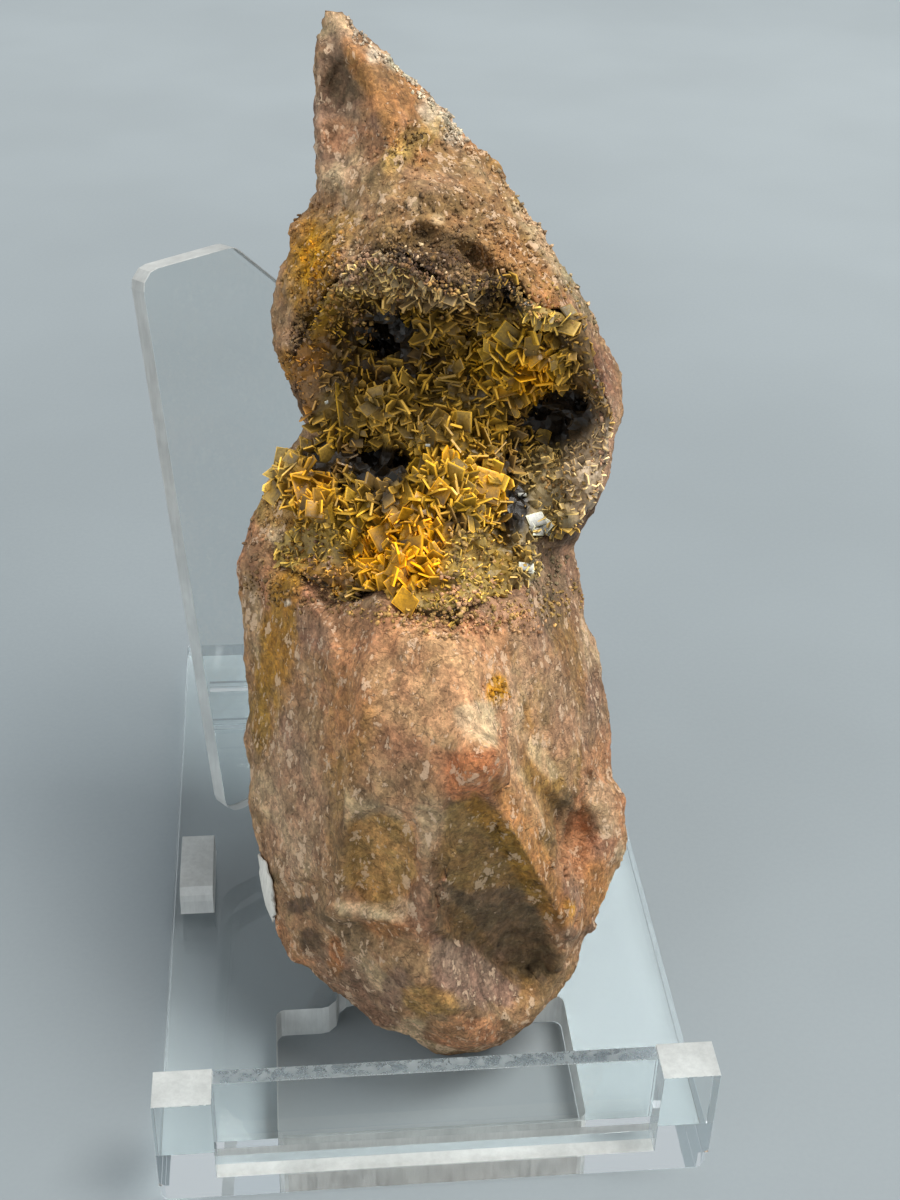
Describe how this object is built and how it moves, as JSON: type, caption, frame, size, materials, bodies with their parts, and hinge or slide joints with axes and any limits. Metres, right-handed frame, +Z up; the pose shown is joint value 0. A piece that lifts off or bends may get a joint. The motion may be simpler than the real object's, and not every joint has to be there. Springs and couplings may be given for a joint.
{
  "type": "barite crystals on host rock on a display stand",
  "caption": "Yellow-brown tabular barite lining the hollow of a pointed pink-brown host rock, upright on a clear plastic display easel.",
  "frame": {"origin": "centre of the stand base's underside, on the surface it stands on", "axes": "+Z up, +X to the viewer's right, -Y towards the viewer, where the hollow opens"},
  "size_m": [0.0605, 0.098, 0.1083],
  "materials": {
    "host_rock": "rough, mottled",
    "barite": "satin crystal faces",
    "label_paper": "matte",
    "clear_plastic": "clear moulded, lightly scratched"
  },
  "bodies": {
    "root": {"host_rock": "host_rock", "barite_crystals": "barite", "number_label": "label_paper", "stand_base": "clear_plastic", "stand_back_plate": "clear_plastic"}
  },
  "joints": []
}
